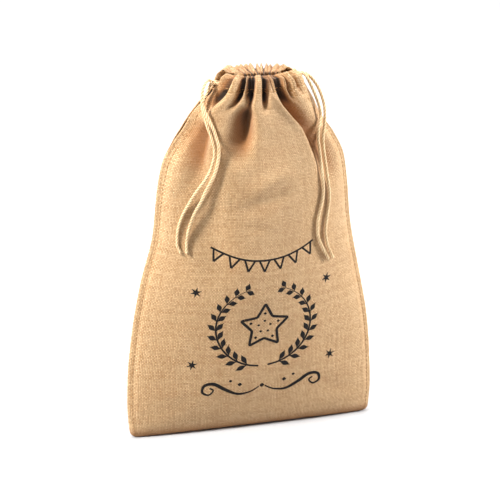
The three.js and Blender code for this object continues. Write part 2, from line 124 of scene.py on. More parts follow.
# Pleats and troughs, and ridges where depth is below zero. start, peak and end: millimetres of
# cloth below the rim. at and foot: its place at either end as a share of the flat panel. rim:
# share of its depth at the start, left and right: reach of its flanks, spread: how much wider
# it ends, crisp: how steep its flanks are, where they aren't of the usual CRISP. A flank ends
# at FLANKS times its reach.
CRISP = 2
FLANKS = 3
FRONT_FOLDS = [
    dict(start=0, peak=12, end=46, at=0.1, foot=0.055, depth=13, rim=0.6, left=6, right=1.6, spread=1.3),
    dict(start=4, peak=18, end=56, at=0.135, foot=0.1, depth=-2, rim=0, left=2, right=3, spread=1.6),
    dict(start=0, peak=7, end=37, at=0.2, foot=0.2, depth=17, rim=0.5,
         left=2.7, right=2.4, spread=1.3, crisp=3),
    dict(start=0, peak=6, end=30, at=0.355, foot=0.385, depth=15, rim=0.6,
         left=2, right=1.7, spread=1, crisp=3),
    dict(start=0, peak=7, end=38, at=0.44, foot=0.415, depth=17, rim=0.6,
         left=2, right=2.3, spread=1, crisp=3),
    dict(start=0, peak=7, end=38, at=0.575, foot=0.55, depth=17, rim=0.5,
         left=2.5, right=3, spread=1.2, crisp=3),
    dict(start=0, peak=5, end=16, at=0.665, foot=0.67, depth=6, rim=0.9, left=1.4, right=1.4, spread=1),
    dict(start=0, peak=5, end=20, at=0.73, foot=0.73, depth=7, rim=0.9, left=1.5, right=1.5, spread=1),
    dict(start=2, peak=20, end=110, at=0.755, foot=0.78, depth=-3, rim=0, left=4, right=2, spread=2),
    dict(start=0, peak=24, end=122, at=0.8, foot=0.83, depth=19, rim=0.4, left=1.8, right=8, spread=2),
    dict(start=0, peak=8, end=32, at=0.855, foot=0.85, depth=9, rim=0.8, left=1.6, right=1.6, spread=1.4),
    dict(start=0, peak=8, end=34, at=0.9, foot=0.9, depth=8, rim=0.8, left=1.6, right=1.6, spread=1.4),
    dict(start=0, peak=8, end=26, at=0.945, foot=0.95, depth=7, rim=0.8, left=1.8, right=1.8, spread=1.2),
    dict(start=25, peak=40, end=96, at=0.41, foot=0.365, depth=21, rim=0.1, left=7, right=3.6, spread=2.7),
    dict(start=34, peak=62, end=118, at=0.07, foot=0.2, depth=13, rim=0, left=9, right=5, spread=1.8),
    dict(start=62, peak=88, end=124, at=0.91, foot=0.885, depth=6, rim=0, left=6, right=5, spread=1.4),
]
BACK_FOLDS = [
    dict(start=0, peak=10, end=38, at=0.1, foot=0.08, depth=9, rim=0.7, left=2.3, right=2.3, spread=1.3),
    dict(start=0, peak=12, end=82, at=0.22, foot=0.27, depth=14, rim=0.5, left=2.2, right=2.5, spread=2.8),
    dict(start=0, peak=6, end=26, at=0.3, foot=0.3, depth=9, rim=0.7, left=1.5, right=1.5, spread=1),
    dict(start=0, peak=9, end=38, at=0.37, foot=0.36, depth=14, rim=0.6,
         left=1.9, right=1.9, spread=1.5, crisp=3),
    dict(start=0, peak=6, end=24, at=0.43, foot=0.43, depth=8, rim=0.7, left=1.4, right=1.4, spread=1),
    dict(start=0, peak=14, end=98, at=0.5, foot=0.47, depth=15, rim=0.6, left=2.2, right=2.2, spread=3.2),
    dict(start=0, peak=6, end=24, at=0.565, foot=0.56, depth=9, rim=0.7, left=1.4, right=1.4, spread=1),
    dict(start=0, peak=9, end=38, at=0.63, foot=0.62, depth=14, rim=0.6,
         left=1.9, right=1.9, spread=1.5, crisp=3),
    dict(start=0, peak=6, end=26, at=0.7, foot=0.69, depth=8, rim=0.7, left=1.5, right=1.5, spread=1),
    dict(start=0, peak=12, end=74, at=0.77, foot=0.72, depth=14, rim=0.5, left=2.2, right=2.5, spread=2.6),
    dict(start=0, peak=10, end=42, at=0.86, foot=0.86, depth=12, rim=0.5, left=2, right=2, spread=1.5),
    dict(start=0, peak=9, end=30, at=0.94, foot=0.95, depth=7, rim=0.6, left=2.2, right=2.2, spread=1.2),
]

# The cords lie in the channel this far behind the outer face, in millimetres, and deeper at
# its middle. The hem's pleats stop CORD_ROOM in front of them, and those below the hem may go
# deeper. The rim leans in a little, dips at each pleat and rises towards the back.
CORD_INSET = 10
MIDDLE_DEEPER = 0.3
CORD_ROOM = 2.8
NECK_FOLD_LIMIT = 20
LIMIT_FROM = 13
LIMIT_TO = 18
LIMIT_POWER = 4
RIM_LEAN = 2.4
LEAN_HEIGHT = 5
RIM_WAVE = 0.6
RIM_WAVE_HEIGHT = 5
RIM_TILT = 0.1

# The turned down hem, from the rim to its free edge, in millimetres. way: share of the way,
# inset: how far it is inside the folded face, up: cloth height beside it, wave: how much of
# the pleats it follows. The front's inner layer follows less of them.
FRONT_HEM_WAVE = 0.45
HEM_WAY = [
    dict(way=0, inset=0, up=377, wave=1),
    dict(way=0.05, inset=0.7, up=377.5, wave=1),
    dict(way=0.1, inset=1.7, up=377.3, wave=1),
    dict(way=0.16, inset=2.6, up=376.3, wave=0.95),
    dict(way=0.45, inset=12.9, up=371.6, wave=0.55),
    dict(way=0.55, inset=13.6, up=369, wave=0.5),
    dict(way=0.85, inset=13, up=364.8, wave=0.55),
    dict(way=1, inset=2.2, up=361.4, wave=1),
]

# Soft creases pressed into the front panel, seen from the front in millimetres. depth is
# below zero for a ridge, bow bends the crease sideways and width is the reach of its flanks.
FRONT_CREASES = [
    dict(x=(38, -12), z=(262, 238), bow=5, depth=-1.6, width=9),
    dict(x=(30, -22), z=(244, 222), bow=4, depth=1.4, width=7),
    dict(x=(-46, 8), z=(214, 210), bow=-1, depth=1, width=1.3),
    dict(x=(-58, -40), z=(246, 250), bow=1, depth=0.7, width=2.2),
    dict(x=(-55, -42), z=(240, 246), bow=1, depth=0.6, width=1.8),
    dict(x=(-84, -52), z=(232, 268), bow=4, depth=1.2, width=7),
    dict(x=(-46, -30), z=(300, 150), bow=9, depth=3.6, width=14),
    dict(x=(-70, -78), z=(290, 170), bow=3, depth=-1.6, width=12),
    dict(x=(-96, -70), z=(96, 128), bow=3, depth=0.7, width=6),
    dict(x=(96, 60), z=(60, 92), bow=3, depth=0.7, width=7),
    dict(x=(-112, -60), z=(24, 40), bow=3, depth=0.9, width=5),
    dict(x=(112, 64), z=(26, 44), bow=-3, depth=0.9, width=5),
]
BACK_CREASES = [
    dict(x=(-40, 14), z=(256, 236), bow=4, depth=1.4, width=8),
    dict(x=(90, 50), z=(70, 104), bow=3, depth=0.9, width=7),
    dict(x=(-108, -56), z=(26, 46), bow=3, depth=1, width=6),
]
CREASE_FADE = 0.22

# Side seams and unevenness in millimetres. The two layers lie close together outside the
# seam, whose thread puckers them, and the cloth is nowhere quite smooth. The row of stitches
# that holds the hem presses the cloth in.
SEAM_WIDTH = 4.5
SEAM_LIFT = 2
SEAM_FADE = 5
SEAM_FROM = 20
SEAM_TO = 60
PUCKER_DEPTH = 0.45
PUCKER_PITCH = 9
PUCKER_REACH = 9
PUCKER_SEED = 5
PUCKER_DRIFT = 2
UNEVEN = [dict(size=62, depth=1.5, seed=3.1), dict(size=24, depth=0.45, seed=9.7)]
STITCH_ROW_UP = 364.2
STITCH_ROW_DEPTH = 0.7
STITCH_ROW_WIDTH = 1.3

# Painted shade on the cloth, in millimetres. Troughs of HOLLOW_DEPTH and the bottom edge below
# UNDER_EDGE get an orange-brown painted shade. Pleats near the rim, and the deepest troughs, get
# a painted shade that is nearly black.
HOLLOW_DEPTH = 9.5
UNDER_EDGE = 13
PLEATS_TO = 22
PLEATS_FADE = 12
PLEAT_FROM = 4.5
PLEAT_TO = 8.5
DEEP_SHARE = 0.55
DEEP_FROM = 10
DEEP_TO = 19

# Mesh of the cloth: its columns and rows, and the cloth heights in millimetres of some rows.
# Columns are dense where the cloth is pleated, and rows are dense in the neck.
PANEL_COLUMNS = 140
ROWS = 166
ROW_SPREAD = [
    dict(row=0, up=0), dict(row=6, up=15), dict(row=10, up=21), dict(row=56, up=235),
    dict(row=100, up=318), dict(row=148, up=377), dict(row=166, up=392),
]


def smooth(x):
    x = min(max(x, 0), 1)
    return x * x * (3 - 2 * x)


def mix(a, b, share):
    return a + (b - a) * share


def lookup(rows, key, at, value):
    """A smooth curve through the rows of a table, with no overshoot between two of them."""
    last = len(rows) - 1

    def rise(k):
        return (rows[k + 1][value] - rows[k][value]) / (rows[k + 1][key] - rows[k][key])

    def slope(k):
        if k == 0:
            return rise(0)
        if k == last:
            return rise(last - 1)
        below, above = rise(k - 1), rise(k)
        return 2 * below * above / (below + above) if below * above > 0 else 0

    row = 0
    while row < last - 1 and at > rows[row + 1][key]:
        row += 1
    step = rows[row + 1][key] - rows[row][key]
    x = (at - rows[row][key]) / step
    bend = (2 * x - 3) * x * x
    return (rows[row][value] * (1 + bend) - rows[row + 1][value] * bend
            + step * x * (x - 1) * ((x - 1) * slope(row) + x * slope(row + 1)))


columns_so_far = 0
last_row = FRONT_GATHER[0]
for gather in FRONT_GATHER:
    wider = gather["flat"] - last_row["flat"]
    further = gather["neck"] - last_row["neck"]
    columns_so_far += math.sqrt(wider * further)
    gather["column"] = columns_so_far
    last_row = gather
for gather in FRONT_GATHER:
    gather["column"] /= columns_so_far

FRONT = dict(
    folds=FRONT_FOLDS, creases=FRONT_CREASES, gathers=FRONT_GATHER,
    depth="front", bow="front_bow", facing=-1,
)
BACK = dict(
    folds=BACK_FOLDS, creases=BACK_CREASES, gathers=BACK_GATHER,
    depth="back", bow="back_bow", facing=1,
)
SECTION_NAMES = ("z", "half", "mid", "seam", "front", "back", "front_bow", "back_bow")
sections_at = {}


def section(up):
    """The level section at a cloth height, kept so that it is worked out once for each row."""
    key = round(up, 3)
    if key not in sections_at:
        sections_at[key] = {name: lookup(SECTIONS, "up", up, name) for name in SECTION_NAMES}
    return sections_at[key]


def thread_across(gathers, flat, up):
    """Where the thread at a share of the flat panel runs, from -1 at the left seam to 1."""
    gathered = smooth((up - GATHERS_FROM) / (GATHERS_TO - GATHERS_FROM))
    spread = 2 * flat - 1
    if gathered == 0:
        return spread
    return mix(spread, -math.cos(math.pi * lookup(gathers, "flat", flat, "neck")), gathered)


def fold_depth(panel, across, up, half):
    """How far the pleats and troughs of a panel draw a point in, in millimetres."""
    below = CLOTH_HEIGHT - up
    depth = 0
    for fold in panel["folds"]:
        if not fold["start"] <= below <= fold["end"]:
            continue
        along = (below - fold["start"]) / (fold["end"] - fold["start"])
        if below < fold["peak"]:
            risen = (below - fold["start"]) / (fold["peak"] - fold["start"])
            lift = mix(fold["rim"], 1, smooth(risen))
        else:
            lift = 1 - smooth((below - fold["peak"]) / (fold["end"] - fold["peak"]))
        centre = thread_across(panel["gathers"], mix(fold["at"], fold["foot"], along), up)
        offset = (across - centre) * half
        reach = (fold["left"] if offset < 0 else fold["right"]) * mix(1, fold["spread"], along)
        if abs(offset) < FLANKS * reach:
            crisp = fold.get("crisp", CRISP)
            depth += fold["depth"] * lift * math.exp(-(abs(offset / reach) ** crisp))
    hem_limit = CORD_INSET * (1 + MIDDLE_DEEPER * (1 - across * across)) - CORD_ROOM
    limit = mix(hem_limit, NECK_FOLD_LIMIT, smooth((below - LIMIT_FROM) / (LIMIT_TO - LIMIT_FROM)))
    return depth / (1 + (depth / limit) ** LIMIT_POWER) ** (1 / LIMIT_POWER)


def crease_depth(creases, x, z):
    """How far the creases draw in the point at x and z, in millimetres."""
    depth = 0
    for crease in creases:
        (x0, x1), (z0, z1) = crease["x"], crease["z"]
        run = math.hypot(x1 - x0, z1 - z0)
        share = ((x - x0) * (x1 - x0) + (z - z0) * (z1 - z0)) / run ** 2
        if not 0 < share < 1:
            continue
        bowed = 4 * crease["bow"] * share * (1 - share)
        aside = ((x - x0) * (z1 - z0) - (z - z0) * (x1 - x0)) / run - bowed
        if abs(aside) < FLANKS * crease["width"]:
            fade = smooth(share / CREASE_FADE) * smooth((1 - share) / CREASE_FADE)
            depth += crease["depth"] * fade * math.exp(-((aside / crease["width"]) ** 2))
    return depth


def unevenness(facing, x, z):
    """Low waves of two sizes in the cloth, in millimetres."""
    depth = 0
    for wave in UNEVEN:
        place = Vector((x / wave["size"], facing * wave["seed"], z / wave["size"]))
        depth += wave["depth"] * noise.noise(place)
    return depth


def bag_point(panel, flat, up, inset=0, wave=1):
    """A point on the outer face of the cloth, in metres. inset moves it inwards, and wave is
    the share of the pleats that it follows."""
    row = section(up)
    below = CLOTH_HEIGHT - up
    across = thread_across(panel["gathers"], flat, up)
    fold = fold_depth(panel, across, min(up, CLOTH_HEIGHT), row["half"])
    lean = RIM_LEAN * (1 - smooth(below / LEAN_HEIGHT))
    inset *= 1 + MIDDLE_DEEPER * (1 - across * across)
    stitched = STITCH_ROW_DEPTH * math.exp(-(((up - STITCH_ROW_UP) / STITCH_ROW_WIDTH) ** 2))
    face_in = fold * wave + lean + inset + stitched
    out = (row[panel["depth"]] - face_in) * max(0, 1 - across * across) ** row[panel["bow"]]
    gathered = smooth((up - GATHERS_FROM) / (GATHERS_TO - GATHERS_FROM))
    from_edge = row["half"] * (1 - abs(across))
    on_body = smooth((up - SEAM_FROM) / (SEAM_TO - SEAM_FROM)) * (1 - gathered)
    if on_body > 0:
        pinched = min(out, SEAM_LIFT)
        past_seam = smooth((from_edge - SEAM_WIDTH + SEAM_FADE) / (2 * SEAM_FADE))
        out = mix(out, mix(pinched, out, past_seam), on_body)
        x_flat = row["mid"] + row["half"] * across
        ripple_at = (up / PUCKER_PITCH, panel["facing"] * PUCKER_SEED, across * PUCKER_DRIFT)
        ripple = noise.noise(Vector(ripple_at))
        soft = 1 - math.exp(-((from_edge / PUCKER_REACH) ** 2))
        uneven = unevenness(panel["facing"], x_flat, row["z"])
        uneven += crease_depth(panel["creases"], x_flat, row["z"])
        pucker = PUCKER_DEPTH * ripple * math.exp(-from_edge / PUCKER_REACH)
        out -= on_body * (uneven * soft + pucker)
    y = row["seam"] + panel["facing"] * out
    rim_wave = RIM_WAVE * fold * max(0, 1 - abs(below) / RIM_WAVE_HEIGHT)
    tilt = RIM_TILT * y * gathered
    x = row["mid"] + (row["half"] - face_in) * across
    return Vector((x, y, row["z"] - rim_wave + tilt)) * MM


def cloth_place(across_grid, up_grid):
    """The panel, its flat share and the cloth height of a place on the grid."""
    panel = FRONT if across_grid <= 0.5 else BACK
    share = across_grid * 2 if panel is FRONT else 2 - across_grid * 2
    flat = lookup(FRONT_GATHER, "column", share, "flat")
    return panel, flat, lookup(ROW_SPREAD, "row", up_grid * ROWS, "up")


def painted_shade_share(panel, flat, up):
    """How much painted shade the cloth gets: up to 1 in a trough or under the bottom edge, 2 in a pleat."""
    if up > CLOTH_HEIGHT:
        up = lookup(HEM_WAY, "way", (up - CLOTH_HEIGHT) / HEM_DEPTH, "up")
    row = section(up)
    across = thread_across(panel["gathers"], flat, up)
    fold = fold_depth(panel, across, min(up, CLOTH_HEIGHT), row["half"])
    in_neck = 1 - smooth((CLOTH_HEIGHT - up - PLEATS_TO) / PLEATS_FADE)
    pleated = in_neck * smooth((fold - PLEAT_FROM) / (PLEAT_TO - PLEAT_FROM))
    deep = DEEP_SHARE * smooth((fold - DEEP_FROM) / (DEEP_TO - DEEP_FROM))
    under = 1 - smooth(row["z"] / UNDER_EDGE)
    return max(smooth(fold / HOLLOW_DEPTH), under) + max(pleated, deep)


def cloth_point(panel, flat, up):
    """A point of the cloth, in metres: on the panel, or on its hem where up is past the rim."""
    if up <= CLOTH_HEIGHT:
        return bag_point(panel, flat, up)
    way = (up - CLOTH_HEIGHT) / HEM_DEPTH
    beside = lookup(HEM_WAY, "way", way, "up")
    inset = lookup(HEM_WAY, "way", way, "inset")
    wave = lookup(HEM_WAY, "way", way, "wave")
    if panel is FRONT:
        wave *= mix(1, FRONT_HEM_WAVE, smooth(inset / CORD_INSET))
    return bag_point(panel, flat, beside, inset, wave)


# Notches at either side, where the seams stop short of the rim and the cords come out.
MOUTH_MIDDLE = 0.0068
NOTCH_HALF_WIDTH = 0.0046
NOTCH_FOOT = 0.3362
NOTCH_FROM = 0.018
MERGED_WITHIN = 0.00002
CUT_WITHIN = 0.000001

cloth = bmesh.new()
cloth.loops.layers.uv.new("flat")
# Each vertex keeps its share of painted shade, for the jute colour.
painted_shade = cloth.verts.layers.float.new("painted_shade")
bmesh.ops.create_grid(
    cloth, x_segments=2 * PANEL_COLUMNS, y_segments=ROWS, size=0.5, calc_uvs=True,
)
flat_uv = cloth.loops.layers.uv.active
places = {}
for vert in cloth.verts:
    places[vert] = cloth_place(vert.co.x + 0.5, vert.co.y + 0.5)
for face in cloth.faces:
    on_front = face.calc_center_median().x < 0
    for loop in face.loops:
        _, flat, up = places[loop.vert]
        thread_up = up if on_front else -up
        loop[flat_uv].uv = ((flat - 0.5) * CLOTH_WIDTH * MM, thread_up * MM)
for vert in cloth.verts:
    vert[painted_shade] = painted_shade_share(*places[vert])
    vert.co = cloth_point(*places[vert])
bmesh.ops.remove_doubles(cloth, verts=cloth.verts, dist=MERGED_WITHIN)
for side in (-1, 1):
    bmesh.ops.bisect_plane(
        cloth, geom=cloth.verts[:] + cloth.edges[:] + cloth.faces[:], dist=CUT_WITHIN,
        plane_co=(0, side * NOTCH_HALF_WIDTH, 0), plane_no=(0, 1, 0),
    )
in_notch = [
    face for face in cloth.faces
    if abs(face.calc_center_median().y) < NOTCH_HALF_WIDTH
    and face.calc_center_median().z > NOTCH_FOOT
    and abs(face.calc_center_median().x - MOUTH_MIDDLE) > NOTCH_FROM
]
bmesh.ops.delete(cloth, geom=in_notch, context="FACES")
bmesh.ops.recalc_face_normals(cloth, faces=cloth.faces)
cloth_surface = BVHTree.FromBMesh(cloth)
cloth_mesh = bpy.data.meshes.new("jute_cloth")
cloth.to_mesh(cloth_mesh)
cloth.free()
cloth_mesh.shade_smooth()
jute_cloth = bpy.data.objects.new("jute_cloth", cloth_mesh)
bpy.context.collection.objects.link(jute_cloth)
wall = jute_cloth.modifiers.new("wall", "SOLIDIFY")
wall.thickness = CLOTH_THICKNESS * MM
wall.offset = -1
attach(jute_cloth, "root")
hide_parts("bag_cloth")

# Jute, as nodes: flat thread counts along and across the cloth give the plain weave, each
# thread has a shade of its own, and some threads have thick darker slubs. Slubs and blotches
# are mixed towards the darker brown. The gaps between the threads get a painted shade of that
# brown, and troughs, pleats and the bottom edge get a painted shade as well.
THREAD_PITCH = 0.0015
THREAD_SHADE = 0.3
CROSSING_SHADE = 0.45
WARP_SHADE = 0.25
JUTE_PALE = (0.93, 0.67, 0.375, 1)
JUTE_MID = (0.45, 0.235, 0.08, 1)
JUTE_BROWN = (0.36, 0.16, 0.05, 1)
# Painted shade colours: orange-brown in troughs and at the bottom edge, near black in pleats.
JUTE_SHADE_BROWN = (0.38, 0.14, 0.03, 1)
JUTE_SHADE_BLACK = (0.016, 0.008, 0.003, 1)
THREAD_DEPTH = 0.0006
THREAD_ROUND = 0.5
WANDER_SCALE = 140.0
WANDER = 0.8
WARP_SEED = 3.0
WEFT_SEED = 57.0
WEFT_SLUBS = (75, 900, 1)
WARP_SLUBS = (900, 60, 1)
WARP_SLUBS_LOWER = 0.05
SLUB_FROM = 0.62
SLUB_BROWN = 2.6
SLUB_HEIGHT = 1.2
# Painted shade in the gaps between the threads.
GAP_PAINTED_SHADE = 0.8
BLOTCH_SCALE = 26.0
BLOTCH_FROM = 0.45
BLOTCH_BROWN = 0.5
# Shares of painted shade in troughs and in pleats.
TROUGH_PAINTED_SHADE = 0.8
PLEAT_PAINTED_SHADE = 0.95


def link(tree, value, socket):
    """Feeds a socket from another node, or sets it to a number or colour."""
    if isinstance(value, bpy.types.NodeSocket):
        tree.links.new(value, socket)
    else:
        socket.default_value = value


def math_node(tree, operation, *values):
    made = tree.nodes.new("ShaderNodeMath")
    made.operation = operation
    for socket, value in zip(made.inputs, values):
        link(tree, value, socket)
    return made.outputs[0]


def mix_colour(tree, share, first, second):
    """A colour that goes from the first to the second as the share goes from 0 to 1."""
    made = tree.nodes.new("ShaderNodeMix")
    made.data_type = "RGBA"
    link(tree, share, made.inputs[0])
    link(tree, first, made.inputs[6])
    link(tree, second, made.inputs[7])
    return made.outputs[2]


def noise_node(tree, place, scale, detail, stretch=(1, 1, 1)):
    mapping = tree.nodes.new("ShaderNodeMapping")
    tree.links.new(place, mapping.inputs["Vector"])
    mapping.inputs["Scale"].default_value = stretch
    made = tree.nodes.new("ShaderNodeTexNoise")
    tree.links.new(mapping.outputs[0], made.inputs["Vector"])
    made.inputs["Scale"].default_value = scale
    made.inputs["Detail"].default_value = detail
    return made.outputs[0]


def share_above(tree, value, start, gain):
    """How far a value is above its start, times a gain, and 0 below it."""
    above = math_node(tree, "MAXIMUM", math_node(tree, "SUBTRACT", value, start), 0.0)
    return math_node(tree, "MULTIPLY", above, gain)


def new_material(name):
    material = bpy.data.materials.new(name)
    material.use_nodes = True
    tree = material.node_tree
    tree.nodes.clear()
    shader = tree.nodes.new("ShaderNodeBsdfPrincipled")
    output = tree.nodes.new("ShaderNodeOutputMaterial")
    tree.links.new(shader.outputs[0], output.inputs[0])
    return material, tree, shader


def weave(tree, uv):
    """Height of the plain weave, and the shade of the thread on top, both from 0 to 1."""
    wander = noise_node(tree, uv, WANDER_SCALE, 1.0)
    place = tree.nodes.new("ShaderNodeVectorMath")
    place.operation = "ADD"
    tree.links.new(uv, place.inputs[0])
    shift = tree.nodes.new("ShaderNodeVectorMath")
    shift.operation = "SCALE"
    tree.links.new(wander, shift.inputs[0])
    shift.inputs["Scale"].default_value = THREAD_PITCH * WANDER
    tree.links.new(shift.outputs[0], place.inputs[1])
    parts = tree.nodes.new("ShaderNodeSeparateXYZ")
    tree.links.new(place.outputs[0], parts.inputs[0])
    warp = math_node(tree, "MULTIPLY", parts.outputs[0], 1 / THREAD_PITCH)
    weft = math_node(tree, "MULTIPLY", parts.outputs[1], 1 / THREAD_PITCH)
    wave = math_node(
        tree, "MULTIPLY",
        math_node(tree, "SINE", math_node(tree, "MULTIPLY", warp, math.pi)),
        math_node(tree, "SINE", math_node(tree, "MULTIPLY", weft, math.pi)),
    )
    height = math_node(tree, "POWER", math_node(tree, "ABSOLUTE", wave), THREAD_ROUND)
    shades = []
    for thread, seed in ((warp, WARP_SEED), (weft, WEFT_SEED)):
        shade = tree.nodes.new("ShaderNodeTexWhiteNoise")
        shade.noise_dimensions = "1D"
        link(tree, math_node(tree, "ADD", math_node(tree, "FLOOR", thread), seed), shade.inputs["W"])
        shades.append(shade.outputs["Value"])
    on_top = math_node(tree, "GREATER_THAN", wave, 0.0)
    along = math_node(tree, "MULTIPLY", shades[0], on_top)
    over = math_node(tree, "MULTIPLY", shades[1], math_node(tree, "SUBTRACT", 1.0, on_top))
    cell = tree.nodes.new("ShaderNodeCombineXYZ")
    link(tree, math_node(tree, "FLOOR", warp), cell.inputs[0])
    link(tree, math_node(tree, "FLOOR", weft), cell.inputs[1])
    crossing = tree.nodes.new("ShaderNodeTexWhiteNoise")
    crossing.noise_dimensions = "2D"
    tree.links.new(cell.outputs[0], crossing.inputs["Vector"])
    shade = math_node(tree, "MULTIPLY", math_node(tree, "ADD", along, over), THREAD_SHADE)
    at_crossing = math_node(tree, "MULTIPLY", crossing.outputs["Value"], CROSSING_SHADE)
    shade = math_node(tree, "ADD", shade, at_crossing)
    shade = math_node(tree, "ADD", shade, math_node(tree, "MULTIPLY", on_top, WARP_SHADE))
    return height, shade


jute_material, tree, shader = new_material("jute")
uv_node = tree.nodes.new("ShaderNodeUVMap")
uv_node.uv_map = "flat"
uv = uv_node.outputs[0]
height, shade = weave(tree, uv)
weft_slub = noise_node(tree, uv, 1.0, 2.0, WEFT_SLUBS)
warp_slub = noise_node(tree, uv, 1.0, 2.0, WARP_SLUBS)
blotch = noise_node(tree, uv, BLOTCH_SCALE, 3.0)
colour = mix_colour(tree, shade, JUTE_MID, JUTE_PALE)
warp_slub = math_node(tree, "SUBTRACT", warp_slub, WARP_SLUBS_LOWER)
slub = math_node(tree, "MAXIMUM", weft_slub, warp_slub)
colour = mix_colour(tree, share_above(tree, slub, SLUB_FROM, SLUB_BROWN), colour, JUTE_BROWN)
# Painted shade between the threads: the lower the weave there, the browner.
gap_shade_share = math_node(tree, "MULTIPLY", math_node(tree, "SUBTRACT", 1.0, height), GAP_PAINTED_SHADE)
colour = mix_colour(tree, gap_shade_share, colour, JUTE_BROWN)
colour = mix_colour(tree, share_above(tree, blotch, BLOTCH_FROM, BLOTCH_BROWN), colour, JUTE_BROWN)
# Painted shade: troughs and the bottom edge are mixed towards orange-brown, and pleats near the rim and the
# deepest troughs towards near black.
painted_shade_node = tree.nodes.new("ShaderNodeAttribute")
painted_shade_node.attribute_name = "painted_shade"
painted_shade_value = painted_shade_node.outputs["Fac"]
trough_shade_share = math_node(tree, "MINIMUM", painted_shade_value, 1.0)
colour = mix_colour(tree, math_node(tree, "MULTIPLY", trough_shade_share, TROUGH_PAINTED_SHADE), colour, JUTE_SHADE_BROWN)
colour = mix_colour(tree, share_above(tree, painted_shade_value, 1.0, PLEAT_PAINTED_SHADE), colour, JUTE_SHADE_BLACK)
tree.links.new(colour, shader.inputs["Base Color"])
bump = tree.nodes.new("ShaderNodeBump")
bump.inputs["Distance"].default_value = THREAD_DEPTH
bump.inputs["Strength"].default_value = 1
slub_height = math_node(tree, "MULTIPLY", slub, SLUB_HEIGHT)
link(tree, math_node(tree, "ADD", height, slub_height), bump.inputs["Height"])
tree.links.new(bump.outputs[0], shader.inputs["Normal"])
shader.inputs["Roughness"].default_value = 0.65
shader.inputs["Sheen Weight"].default_value = 0.12
shader.inputs["Sheen Roughness"].default_value = 0.5
shader.inputs["Specular IOR Level"].default_value = 0.4
jute_cloth.data.materials.append(jute_material)

# Sewing
# Jute coloured thread, in a row of stitches that holds the hem down all round the mouth and
# one up each side seam. Each stitch is a short length of thread with its ends pulled in.
STITCH_PITCH = 0.0042
STITCH_LENGTH = 0.0031
STITCH_WIDTH = 0.0007
STITCH_LIFT = 0.00015
STITCH_ROUND = (0.6, 1, 1, 0.6)
THREAD_COLOUR = (0.34, 0.19, 0.08, 1)
THREAD_FIBRES = 2600.0

# Where the rows start and end: shares of the flat panel, and cloth heights in millimetres.
HEM_STITCHES = dict(from_flat=0.012, to_flat=0.988, steps=900)
SEAM_STITCHES = dict(from_up=10, to_up=352, steps=420)


def add_spline(curve, points, radii, closed=False):
    """One round line of a curve, with a radius at each point as a share of its bevel depth."""
    spline = curve.splines.new("POLY")
    spline.points.add(len(points) - 1)
    for target, point, radius in zip(spline.points, points, radii):
        target.co = (*point, 1)
        target.radius = radius
    spline.use_cyclic_u = closed


def mesh_of_curve(curve, name):
    """A mesh of a curve's round lines, without the curve's own object."""
    lines = bpy.data.objects.new(name, curve)
    bpy.context.collection.objects.link(lines)
    bpy.context.view_layer.update()
    evaluated = lines.evaluated_get(bpy.context.evaluated_depsgraph_get())
    mesh = bpy.data.meshes.new_from_object(evaluated)
    mesh.name = name
    bpy.data.objects.remove(lines)
    bpy.data.curves.remove(curve)
    return mesh


def stitch_along(sewing, points, outwards):
    """Stitches along a line of points on the cloth, evenly spaced."""
    along = 0
    next_stitch = STITCH_PITCH / 2
    for k in range(1, len(points)):
        step = (points[k] - points[k - 1]).length
        along += step
        if along < next_stitch or step == 0:
            continue
        next_stitch += STITCH_PITCH
        half = (points[k] - points[k - 1]).normalized() * STITCH_LENGTH / 2
        top = points[k] + outwards[k] * STITCH_LIFT
        sunk = top - outwards[k] * STITCH_WIDTH / 2
        add_spline(sewing, [sunk - half, top - half / 2, top + half / 2, sunk + half], STITCH_ROUND)


def lying_on_cloth(point, away):
    """The nearest point on the outer face of the cloth, and the way out from there."""
    place, normal, _, _ = cloth_surface.find_nearest(point)
    return place, normal if normal.dot(away) > 0 else -normal


sewing = bpy.data.curves.new("sewing", "CURVE")
sewing.dimensions = "3D"
sewing.bevel_depth = STITCH_WIDTH / 2
sewing.bevel_resolution = 1
sewing.use_fill_caps = True
for panel in (FRONT, BACK):
    out = Vector((0, panel["facing"], 0))
    steps = HEM_STITCHES["steps"]
    row = []
    for k in range(steps + 1):
        flat = mix(HEM_STITCHES["from_flat"], HEM_STITCHES["to_flat"], k / steps)
        row.append(lying_on_cloth(bag_point(panel, flat, STITCH_ROW_UP), out))
    stitch_along(sewing, [place for place, _ in row], [normal for _, normal in row])
    for side in (-1, 1):
        row = []
        steps = SEAM_STITCHES["steps"]
        for k in range(steps + 1):
            up = mix(SEAM_STITCHES["from_up"], SEAM_STITCHES["to_up"], k / steps)
            flat = 0.5 + side * (0.5 - 0.5 * SEAM_WIDTH / section(up)["half"])
            row.append(lying_on_cloth(bag_point(panel, flat, up), out))
        stitch_along(sewing, [place for place, _ in row], [normal for _, normal in row])
sewing_mesh = mesh_of_curve(sewing, "sewing_thread")
sewing_mesh.shade_smooth()
sewing_mesh.materials.clear()
sewing_thread = bpy.data.objects.new("sewing_thread", sewing_mesh)
bpy.context.collection.objects.link(sewing_thread)
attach(sewing_thread, "root")
thread_material, tree, shader = new_material("sewing_thread")
coordinates = tree.nodes.new("ShaderNodeTexCoord")
fibre = noise_node(tree, coordinates.outputs["Object"], THREAD_FIBRES, 2.0)
tree.links.new(mix_colour(tree, fibre, THREAD_COLOUR, JUTE_MID), shader.inputs["Base Color"])
shader.inputs["Roughness"].default_value = 0.7
sewing_thread.data.materials.append(thread_material)

